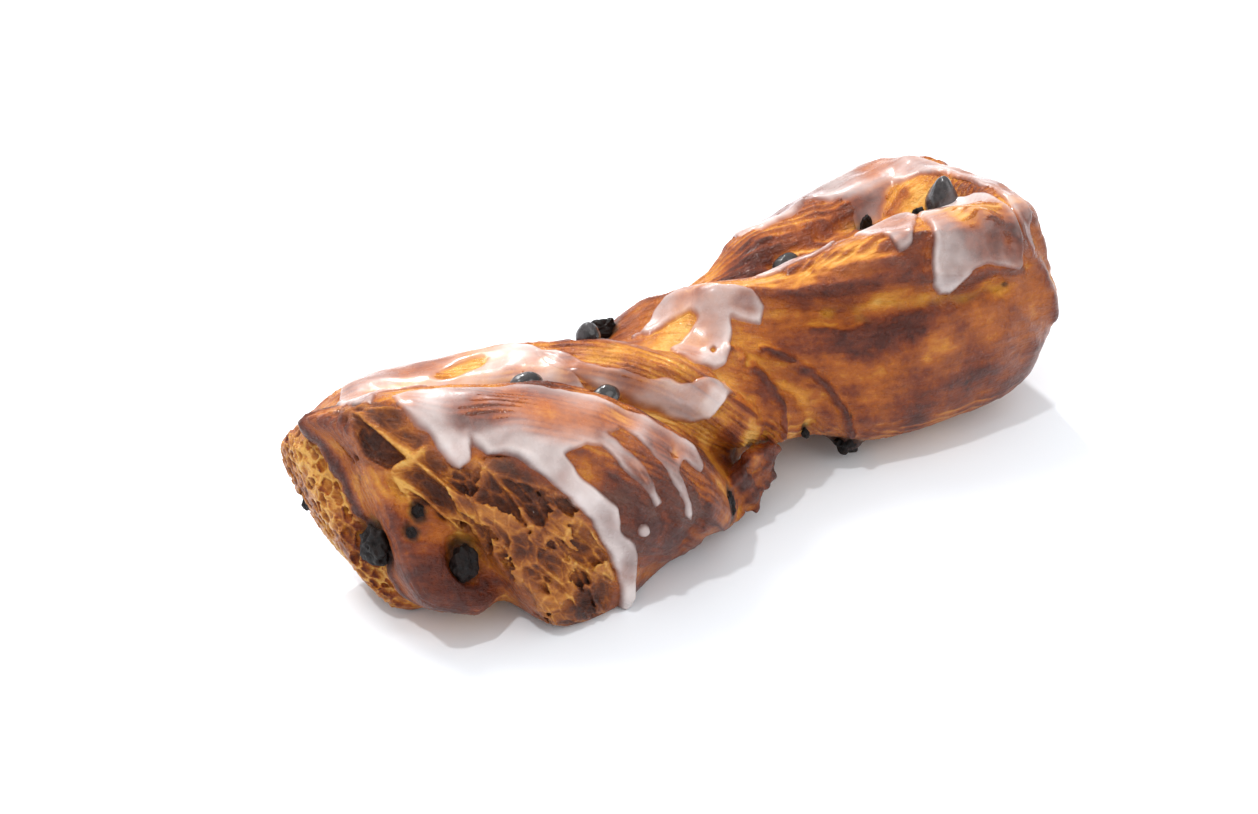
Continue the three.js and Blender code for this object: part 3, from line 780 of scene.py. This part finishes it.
def buildIcing(name, smooth, material):
    xs = [point[0] for point in icingOutlines[name]]
    first = max(int((min(xs) - icing["margin"] - block["low"][0]) / block["cell"]), 0)
    last = min(int((max(xs) + icing["margin"] - block["low"][0]) / block["cell"]), shape[0])
    part = smooth[first:last]
    solid = np.full(part.shape, block["skin"], np.float32)
    where = np.nonzero(np.abs(part) < block["skin"])
    x, y, z = axesOf[0][first:last][where[0]], axesOf[1][where[1]], axesOf[2][where[2]]
    p = sectionAt(x)
    angle, r = around(p, y, z)
    depth = icingDepth(x, angle, r, name)
    low, high = icing["edge"]
    thickness = icing["bare"] + (icing["thick"] - icing["bare"]) * ease(low, high, depth)
    place, width, height = icing["bead"]
    thickness += height * np.exp(-((depth - place) / width) ** 2) * (1 + noise(x, y, z, 7.0, 12.0))
    for centre, reach, change in icingSpots + icingDrops.get(name, []):
        thickness += change * spot(x, angle, centre, reach)
    above = part[where]
    layer = softMax(above - thickness, -(above + icing["under"]), icing["rounding"])
    solid[where] = softMax(layer, icing["aboveTable"] - z, icing["foot"])
    points, quads = withoutCrumbs(*surfaceOf(solid, (first, 0, 0)), icing["leastFaces"])
    looks = paintDough(points, slopeAt(dough, points))
    x, y, z = points.T.astype(np.float32)
    share = icing["fineShare"]
    over = (1 - share) * sample(smooth, points) + share * sample(dough, points)
    over += sum(change * noise(x, y, z, size, 15.0 + k) for k, (size, change) in enumerate(icing["cloudy"]))
    looks["veil"] = ease(*icing["milky"], over)
    piece = meshPiece(name.replace("icing", "iced"), points, quads, looks)
    piece.data.materials.append(material)
    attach(piece, "root")
    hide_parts(name)


# node helpers

def colour(code):
    parts = [int(code[k:k + 2], 16) / 255 for k in (0, 2, 4)]
    return tuple((c / 12.92 if c <= 0.04045 else ((c + 0.055) / 1.055) ** 2.4) for c in parts) + (1.0,)


def freshMaterial(name):
    material = bpy.data.materials.new(name)
    material.use_nodes = True
    return material, material.node_tree, material.node_tree.nodes["Principled BSDF"]


def addNode(tree, kind, inputs=None, **settings):
    node = tree.nodes.new("ShaderNode" + kind)
    for key, value in settings.items():
        setattr(node, key, value)
    for key, value in (inputs or {}).items():
        if hasattr(value, "is_output"):
            tree.links.new(value, node.inputs[key])
        else:
            node.inputs[key].default_value = value
    return node


def attribute(tree, name):
    return addNode(tree, "Attribute", attribute_name=name)


def calc(tree, operation, first, second=0.0, third=0.0):
    node = addNode(tree, "Math", {0: first, 1: second, 2: third}, operation=operation)
    return node.outputs[0]


def blendColour(tree, factor, first, second):
    node = addNode(tree, "Mix", {0: factor, 6: first, 7: second}, data_type="RGBA")
    return node.outputs[2]


def ramp(tree, factor, stops, interpolation="EASE"):
    node = addNode(tree, "ValToRGB", {0: factor})
    band = node.color_ramp
    band.interpolation = interpolation
    while len(band.elements) < len(stops):
        band.elements.new(0.5)
    for element, (place, code) in zip(band.elements, stops):
        element.position = place
        element.color = colour(code) if isinstance(code, str) else (code, code, code, 1)
    return node.outputs[0]


def noiseNode(tree, vector, scale, detail, roughness, distortion=0.0):
    return addNode(tree, "TexNoise", {"Vector": vector, "Scale": scale, "Detail": detail,
                                      "Roughness": roughness, "Distortion": distortion}).outputs[0]


def bumpNode(tree, height, strength, distance):
    return addNode(tree, "Bump", {"Height": height, "Strength": strength, "Distance": distance}).outputs[0]


def setInputs(shader, values):
    for key, value in values.items():
        shader.inputs[key].default_value = value


def span(tree, value, low, high, toLow=0.0, toHigh=1.0):
    node = addNode(tree, "MapRange", {0: value, 1: low, 2: high, 3: toLow, 4: toHigh})
    return node.outputs[0]


# Baked dough: from pale gold through orange to dark red-brown.
crust = {
    "stops": [(0.0, "E2B160"), (0.2, "CB862D"), (0.42, "A35514"), (0.64, "74300D"), (0.82, "4A1A0B"),
              (1.0, "2C1009")],
    "crumb": [(0.0, "D6A04C"), (0.22, "B36E26"), (0.45, "854412"), (0.7, "55260C"), (1.0, "280F07")],
    "custard": "BF8C28",
    "char": "0D0807",
    "film": "BA876E",
    "streak": (0.1, 0.7),          # scale along and across the stretch, per millimetre
    "mottle": 230.0,               # scales per metre
    "grain": 950.0,
    "variety": (0.16, 0.42, 0.24), # how much the streaks, mottling and grain darken or lighten
    "threads": (0.22, 0.7),        # scale along and across the threads of the crumb, per millimetre
    "thread": (0.12, 0.15),        # their width, and how much they lighten
    "rough": (0.26, 0.5),
    "filmGloss": 0.14,             # how much smoother the crust is under a film of sugar
    "filmWhite": 0.14,
    "filmPatches": (0.7, 0.15),
    "bump": (0.9, 0.0012),
    "glazeBump": (1.0, 0.0015),
    "shine": {"IOR": 1.45, "Specular IOR Level": 0.2, "Coat Weight": 0.45, "Coat Roughness": 0.06,
              "Subsurface Weight": 0.06, "Subsurface Radius": (1.0, 0.4, 0.12), "Subsurface Scale": 0.0012},
}


# the baked colour at every point, with painted shade deep in the crumb's bubbles, which also shows through
# thin icing
def crustColour(tree):
    fibre = attribute(tree, "fibre").outputs["Vector"]
    along, across = crust["streak"]
    drawn = addNode(tree, "Mapping", {"Vector": fibre, "Scale": (along, across, across)}).outputs[0]
    streak = noiseNode(tree, drawn, 1.0, 6.0, 0.65, 0.4)
    place = addNode(tree, "TexCoord").outputs["Object"]
    mottle = noiseNode(tree, place, crust["mottle"], 7.0, 0.62)
    grain = noiseNode(tree, place, crust["grain"], 4.0, 0.6)
    value = attribute(tree, "bake").outputs["Fac"]
    for pattern, amount in zip((streak, mottle, grain), crust["variety"]):
        value = calc(tree, "MULTIPLY_ADD", pattern, amount, calc(tree, "SUBTRACT", value, amount / 2))
    base = ramp(tree, value, crust["stops"], "LINEAR")
    along, across = crust["threads"]
    drawn = addNode(tree, "Mapping", {"Vector": fibre, "Scale": (along, along, across)}).outputs[0]
    web = addNode(tree, "TexVoronoi", {"Vector": drawn, "Scale": 1.0}, feature="DISTANCE_TO_EDGE")
    width, lighter = crust["thread"]
    thread = span(tree, web.outputs["Distance"], 0.0, width, lighter, 0.0)
    inside = ramp(tree, calc(tree, "SUBTRACT", value, thread), crust["crumb"], "LINEAR")
    base = blendColour(tree, attribute(tree, "crumb").outputs["Fac"], base, inside)
    for name in ("custard", "char"):
        base = blendColour(tree, attribute(tree, name).outputs["Fac"], base, colour(crust[name]))
    return base, streak, mottle, grain


def crustMaterial():
    material, tree, shader = freshMaterial("baked_crust")
    base, streak, mottle, grain = crustColour(tree)
    film = attribute(tree, "film").outputs["Fac"]
    patchy = calc(tree, "MULTIPLY_ADD", span(tree, mottle, 0.4, 0.62), *crust["filmPatches"])
    white = calc(tree, "MULTIPLY", calc(tree, "MULTIPLY", film, patchy), crust["filmWhite"])
    tree.links.new(blendColour(tree, white, base, colour(crust["film"])), shader.inputs["Base Color"])
    rough = span(tree, mottle, 0.3, 0.7, *crust["rough"])
    rough = calc(tree, "SUBTRACT", rough, calc(tree, "MULTIPLY", film, crust["filmGloss"]))
    tree.links.new(rough, shader.inputs["Roughness"])
    height = calc(tree, "MULTIPLY_ADD", mottle, 0.9, streak)
    height = calc(tree, "MULTIPLY_ADD", grain, 0.35, height)
    tree.links.new(bumpNode(tree, height, *crust["bump"]), shader.inputs["Normal"])
    height = calc(tree, "MULTIPLY_ADD", grain, 0.8, mottle)
    tree.links.new(bumpNode(tree, height, *crust["glazeBump"]), shader.inputs["Coat Normal"])
    setInputs(shader, crust["shine"])
    return material


# Icing: white where it pools, and a veil over the crust where it runs thin.
glaze = {
    "white": "D9CECB",
    "shade": "A98F88",
    "veil": (0.08, 0.92),          # how opaque at its thinnest and thickest
    "cloudy": (150.0, 0.5),        # scale per metre, and how much it changes the veil
    "rough": (0.18, 0.36),
    "bump": (0.25, 0.0008),
    "shine": {"IOR": 1.45, "Coat Weight": 0.25, "Coat Roughness": 0.06, "Subsurface Weight": 0.15,
              "Subsurface Radius": (1.0, 0.7, 0.55), "Subsurface Scale": 0.001},
}


def icingMaterial():
    material, tree, shader = freshMaterial("sugar_icing")
    base, _, mottle, _ = crustColour(tree)
    veil = attribute(tree, "veil").outputs["Fac"]
    place = addNode(tree, "TexCoord").outputs["Object"]
    scale, change = glaze["cloudy"]
    cloudy = noiseNode(tree, place, scale, 5.0, 0.55)
    milky = calc(tree, "MULTIPLY_ADD", cloudy, change, calc(tree, "SUBTRACT", veil, change / 2))
    opaque = span(tree, milky, 0.0, 1.0, *glaze["veil"])
    sugar = blendColour(tree, opaque, colour(glaze["shade"]), colour(glaze["white"]))
    tree.links.new(blendColour(tree, opaque, base, sugar), shader.inputs["Base Color"])
    tree.links.new(bumpNode(tree, cloudy, *glaze["bump"]), shader.inputs["Normal"])
    tree.links.new(span(tree, mottle, 0.3, 0.7, *glaze["rough"]), shader.inputs["Roughness"])
    setInputs(shader, glaze["shine"])
    return material


# Chocolate: dull and crusted where it burnt, shiny where the glaze ran over it.
chocolate = {
    "burnt": {"dark": "060404", "light": "1C0F0B", "grain": 700.0, "rough": (0.4, 0.75), "bump": 0.9,
              "shine": 0.2, "coat": 0.05},
    "glossy": {"dark": "0E0B0B", "light": "322D2D", "grain": 300.0, "rough": (0.12, 0.35), "bump": 0.2,
               "shine": 0.5, "coat": 0.5},
    "filmed": {"dark": "0F0D0E", "light": "575254", "grain": 160.0, "rough": (0.15, 0.4), "bump": 0.15,
               "shine": 0.4, "coat": 0.4},
}


def chocolateMaterial(kind):
    look = chocolate[kind]
    material, tree, shader = freshMaterial("chocolate_" + kind)
    place = addNode(tree, "TexCoord").outputs["Object"]
    lumps = noiseNode(tree, place, look["grain"], 6.0, 0.6)
    base = ramp(tree, lumps, [(0.35, look["dark"]), (0.7, look["light"])], "LINEAR")
    tree.links.new(base, shader.inputs["Base Color"])
    tree.links.new(span(tree, lumps, 0.3, 0.7, *look["rough"]), shader.inputs["Roughness"])
    tree.links.new(bumpNode(tree, lumps, look["bump"], 0.0008), shader.inputs["Normal"])
    setInputs(shader, {"Specular IOR Level": look["shine"], "Coat Weight": look["coat"],
                       "Coat Roughness": 0.1})
    return material


# dark patches and pale ones on the crust: (x, degrees), reach, and change towards dark
bakeSpots = [
    ((-28, 92), (16, 30), 0.24),
    ((-40, 66), (6, 14), 0.2),
    ((-50, 10), (26, 14), 0.2),
    ((-5, 6), (24, 26), -0.26),
    ((-14, 26), (14, 12), -0.16),
    ((76, 66), (14, 30), -0.1),
    ((10, 62), (3, 26), 0.08),
    ((26, 82), (2.5, 24), 0.08),
    ((3, 112), (9, 22), 0.26),
    ((3, 84), (4, 24), -0.25),
    ((19, 80), (5, 22), 0.05),
    ((-3, 92), (4, 26), 0.3),
    ((-14, 66), (6, 14), 0.2),
    ((42, 56), (15, 12), 0.3),
    ((42, 64), (10, 12), 0.22),
    ((66, 54), (16, 6), 0.2),
    ((74, 26), (14, 18), -0.12),
    ((38, 22), (16, 10), -0.2),
    ((60, 68), (12, 9), -0.1),
    ((56, 92), (24, 20), 0.06),
    ((60, -60), (26, 10), 0.2),
    ((30, -44), (12, 12), 0.16),
    ((-66, 66), (9, 16), 0.25),
    ((-80, 26), (9, 24), -0.2),
    ((-52, 92), (7, 20), -0.1),
    ((-80, 104), (11, 24), 0.3),
    ((-60, 114), (12, 9), 0.12),
]
# the same on the torn crumb
crumbSpots = [
    ((-84, 44), (5, 20), -0.25),
    ((-81, 16), (5, 12), -0.2),
    ((-60, 48), (6, 9), 0.22),
    ((-53, 64), (4, 11), 0.2),
    ((-62, 98), (7, 14), 0.1),
    ((-50, 115), (4, 8), 0.4),
    ((-70, 98), (2, 18), 0.35),
    ((-78, 116), (6, 10), -0.2),
]
# how dark the dough is baked, from 0 pale to 1 burnt, and what changes it, with painted shade in the crumb's
# hollows
bakingAndShade = {
    "middle": 0.42,
    "face": 0.1,
    "cutSide": -0.18,
    "raised": ((1.2, 0.12), (0.3, 0.16)),    # height in mm and change, for broad and for small lumps
    "patches": ((9.0, 0.2), (4.0, 0.08)),    # size and change
    "endRidge": 0.45,
    "crustRange": (0.05, 0.8),
    "crumb": 0.52,
    # painted shade: the crumb is darker the deeper a point lies in its bubbles
    "hollow": 0.15,
    "strand": -0.36,
    "crumbPatches": (9.0, 0.26),
    "crumbTip": ((-86, -89), -0.15),
    "range": (0.04, 0.92),
}
# the custard-yellow inner dough in the far hollow
custardPlace = {"groove": (-0.2, -1.6), "across": (0, -6), "from": (18, 34), "until": (92, 80),
                "patches": 5.0, "strength": 0.7}
# specks of chocolate smeared on the crust
specks = [(76, -28.7, 43.7), (75, -30.7, 40.3), (61, -34.8, 20), (46, -32.5, 15.8), (31, -28.4, 18.2)]
# chips that burnt, and those that the glaze ran over
burntChips = (1, 2, 3, 4, 5, 9, 10, 11, 12, 13, 15, 16)
filmedChips = (7, 8, 17)
burnt = {"reach": 1.6, "ragged": 0.6, "raggedSize": 1.8, "strength": 0.85}
speckForm = {"reach": (1.2, 0.5), "ragged": 0.4, "raggedSize": 1.2, "strength": 0.8}
burnReach = {12: 5.5, 1: 2.4, 2: 2.0, 10: 2.4}
filmEdge = {"soft": (-4.5, 0.5), "ragged": 1.5, "raggedSize": 5.0, "above": (2, 9)}


def paintDough(points, normals):
    x, y, z = points.T.astype(np.float32)
    nx, ny, nz = normals.T
    p = sectionAt(x)
    a, b = acrossAndThrough(p, y, z)
    angle, r = around(p, y, z)
    cut, outFace, end = facing(p, x, nx, ny, nz, "painted")
    wide = sample(wideBlur, points)
    close = sample(closeBlur, points)
    opened = openness(x, b, angle, r, end)
    bake = bakingAndShade["middle"] + bakingAndShade["face"] * ease(0.5, 0.9, outFace) + bakingAndShade["cutSide"] * cut
    for raised, (height, change) in zip((wide, close), bakingAndShade["raised"]):
        bake += change * np.clip(raised / height, -1, 1)
    (size, change), (smallSize, smallChange) = bakingAndShade["patches"]
    bake += change * noise(x, y, z, size, 1.5) + smallChange * noise(x / 2, a, b, smallSize, 3.5)
    place, width, _ = relief["endRidge"]
    bake += bakingAndShade["endRidge"] * np.exp(-((b - place) / width) ** 2) * ease(*relief["ridgeX"], x)
    for centre, reach, change in bakeSpots:
        bake += change * spot(x, angle, centre, reach)
    bake = np.clip(bake, *bakingAndShade["crustRange"])
    inside = np.nonzero(opened > leastOpen)[0]
    hollow, strand = crumbAt(x[inside], a[inside], b[inside])
    # the crumb's tone, with painted shade darkening the deep parts of its bubbles
    crumbBakeAndShade = bakingAndShade["crumb"] + bakingAndShade["hollow"] * hollow + bakingAndShade["strand"] * strand
    size, change = bakingAndShade["crumbPatches"]
    crumbBakeAndShade += change * noise(x, y, z, size, 8.0)[inside]
    (start, stop), change = bakingAndShade["crumbTip"]
    crumbBakeAndShade += change * ease(start, stop, x[inside])
    for centre, reach, change in crumbSpots:
        crumbBakeAndShade += change * spot(x[inside], angle[inside], centre, reach)
    bake[inside] += (crumbBakeAndShade - bake[inside]) * opened[inside]
    custard = ease(*custardPlace["groove"], wide) * ease(*custardPlace["across"], a)
    custard = custard * ease(*custardPlace["from"], x) * ease(*custardPlace["until"], x)
    custard = custard * ease(-0.3, 0.3, noise(x, y, z, custardPlace["patches"], 7.0))
    char = np.zeros(x.shape, np.float32)
    for number, name in enumerate(sorted(chips), 1):
        if number in burntChips:
            away = chipDistance(x, y, z, name)
            reach = burnReach.get(number, burnt["reach"])
            ragged = away + burnt["ragged"] * noise(x, y, z, burnt["raggedSize"], number)
            char = np.maximum(char, burnt["strength"] * ease(reach, 0.1, ragged))
    for place in specks:
        away = np.sqrt((x - place[0]) ** 2 + (y - place[1]) ** 2 + (z - place[2]) ** 2)
        ragged = away + speckForm["ragged"] * noise(x, y, z, speckForm["raggedSize"], 2.0)
        char = np.maximum(char, speckForm["strength"] * ease(*speckForm["reach"], ragged))
    film = np.zeros(x.shape, np.float32)
    for name in icingOutlines:
        depth = icingDepth(x, angle, r, name)
        ragged = depth + filmEdge["ragged"] * noise(x, y, z, filmEdge["raggedSize"], 2.5)
        film = np.maximum(film, ease(*filmEdge["soft"], ragged))
    return {"bake": np.clip(bake, *bakingAndShade["range"]), "crumb": opened, "char": char,
            "custard": custardPlace["strength"] * custard, "film": film * ease(*filmEdge["above"], z),
            "fibre": np.stack([x, a, b], axis=1)}


dough, smoothDough = buildDough()
reachCells = int(round(2.0 / block["cell"]))
clipped = np.clip(dough, -5, 5)
closeBlur = blurred(clipped, max(reachCells // 2, 1))
wideBlur = blurred(clipped, 3 * reachCells)
print("dough: carved and blurred")

points, quads = withoutCrumbs(*surfaceOf(dough), relief["leastFaces"])
twistPiece = meshPiece("twisted_dough", points, quads, paintDough(points, slopeAt(dough, points)))
twistPiece.data.materials.append(crustMaterial())
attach(twistPiece, "root")
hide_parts("dough_twist")
print("dough: meshed,", len(quads), "faces")

sugar = icingMaterial()
for name in icingOutlines:
    buildIcing(name, smoothDough, sugar)
print("icing: poured")


# each chip is a lumpy drop in the place and size of its CAD solid
chipForm = {
    "rings": 5,
    "lumps": (0.6, 0.3, 0.6),      # sizes of the lumps and the dents, as shares of the chip, and their ratio
    "burntLump": 0.34,
    "glossLump": 0.05,
    "pinch": 0.35,
    "tall": {17: 0.6, 8: 0.5},
    "burntPinch": 0.1,
    "push": {1: (-1.2, -1.2, 0.3), 2: (-0.8, -1.3, 0.0), 17: (0.0, -0.6, 2.0)},   # out of the dough
    "grow": {1: 1.2, 2: 1.15, 17: 1.15},
}


def buildChip(number, name, materials):
    centre, half = chips[name]
    isBurnt = number in burntChips
    bm = bmesh.new()
    bmesh.ops.create_icosphere(bm, subdivisions=chipForm["rings"], radius=1)
    co = np.array([v.co for v in bm.verts])
    lump = chipForm["burntLump" if isBurnt else "glossLump"]
    size, dentSize, dents = chipForm["lumps"]
    grow = 1 + lump * noise(*co.T, size, number)
    grow = grow - dents * lump * np.abs(noise(*co.T, dentSize, number + 0.5))
    pinch = chipForm["burntPinch"] if isBurnt else chipForm["tall"].get(number, chipForm["pinch"])
    thin = 1 - pinch * (co[:, 2] + 1) / 2
    shaped = co * grow[:, None] * np.stack([thin, thin, np.ones_like(thin)], axis=1)
    shaped = shaped / np.abs(shaped).max(axis=0) * half * chipForm["grow"].get(number, 1) + centre
    shaped += np.array(chipForm["push"].get(number, (0, 0, 0)))
    for vert, place in zip(bm.verts, shaped):
        vert.co = Vector((place + np.array(twist["standsAt"])) * mm)
    mesh = bpy.data.meshes.new(name)
    bm.to_mesh(mesh)
    bm.free()
    mesh.shade_smooth()
    piece = bpy.data.objects.new(name.replace("chocolate_", ""), mesh)
    scene.collection.objects.link(piece)
    kind = "burnt" if isBurnt else "filmed" if number in filmedChips else "glossy"
    mesh.materials.append(materials[kind])
    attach(piece, "root")
    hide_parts(name)


chocolates = {kind: chocolateMaterial(kind) for kind in chocolate}
for number, name in enumerate(sorted(chips), 1):
    buildChip(number, name, chocolates)
print("chocolate: chips placed")


# floor, light and camera, in metres and degrees
studio = {
    "floorSize": 3.0,
    "floor": ("E9EDF2", "ECF0F5"),
    "sky": (0.45, 1.1),          # strength at the horizon and overhead
    "skyHeight": (0.05, 0.8),
    "camera": {"azimuth": -34, "elevation": 38, "distance": 0.715, "lens": 85, "aimHeight": 0.02,
               "shift": (-0.0374, -0.0103)},
}
lights = {
    # name: side, away from the camera, up (metres from the pastry), size, power
    "key": (-0.55, 0.45, 0.9, 0.5, 7.5),
    "sparkle": (-0.15, 0.7, 0.8, 0.07, 6),
    "glint": (-0.35, -0.25, 0.95, 0.05, 3),
    "fill": (0.9, -0.5, 0.6, 0.9, 3),
}


def buildStudio():
    floor = bmesh.new()
    bmesh.ops.create_grid(floor, x_segments=1, y_segments=1, size=studio["floorSize"] / 2)
    mesh = bpy.data.meshes.new("floor")
    floor.to_mesh(mesh)
    floor.free()
    ground = bpy.data.objects.new("floor", mesh)
    ground.location.z = cadLow.z
    scene.collection.objects.link(ground)
    material, tree, shader = freshMaterial("paper_floor")
    paper = addNode(tree, "TexNoise", {"Scale": 40.0, "Detail": 2.0})
    tones = list(zip((0.3, 0.7), studio["floor"]))
    tree.links.new(ramp(tree, paper.outputs[0], tones), shader.inputs["Base Color"])
    shader.inputs["Roughness"].default_value = 0.9
    mesh.materials.append(material)
    world = bpy.data.worlds.new("studio")
    world.use_nodes = True
    sky = world.node_tree
    sky.nodes["Background"].inputs[0].default_value = (1, 1, 1, 1)
    towards = addNode(sky, "SeparateXYZ", {0: addNode(sky, "TexCoord").outputs["Generated"]})
    strength = span(sky, towards.outputs[2], *studio["skyHeight"], *studio["sky"])
    sky.links.new(strength, sky.nodes["Background"].inputs[1])
    scene.world = world
    view = studio["camera"]
    turn, rise = math.radians(view["azimuth"]), math.radians(view["elevation"])
    right = Vector((math.cos(turn), math.sin(turn), 0))
    away = Vector((-math.sin(turn), math.cos(turn), 0))
    aim = Vector(twist["standsAt"]) * mm + Vector((0, 0, view["aimHeight"]))
    for name, (side, back, up, size, power) in lights.items():
        lamp = bpy.data.lights.new(name, "AREA")
        lamp.shape = "DISK"
        lamp.size = size
        lamp.energy = power
        piece = bpy.data.objects.new(name, lamp)
        piece.location = aim + right * side + away * back + Vector((0, 0, up))
        piece.rotation_euler = (piece.location - aim).to_track_quat("Z", "Y").to_euler()
        scene.collection.objects.link(piece)
    camera = bpy.data.cameras.new("camera")
    camera.lens = view["lens"]
    camera.sensor_width = 36
    camera.shift_x, camera.shift_y = view["shift"]
    camera.clip_start = 0.05
    piece = bpy.data.objects.new("camera", camera)
    back = Vector((math.sin(turn) * math.cos(rise), -math.cos(turn) * math.cos(rise), math.sin(rise)))
    piece.location = aim + back * view["distance"]
    piece.rotation_euler = back.to_track_quat("Z", "Y").to_euler()
    scene.collection.objects.link(piece)
    scene.camera = piece


buildStudio()
print("studio: ready")
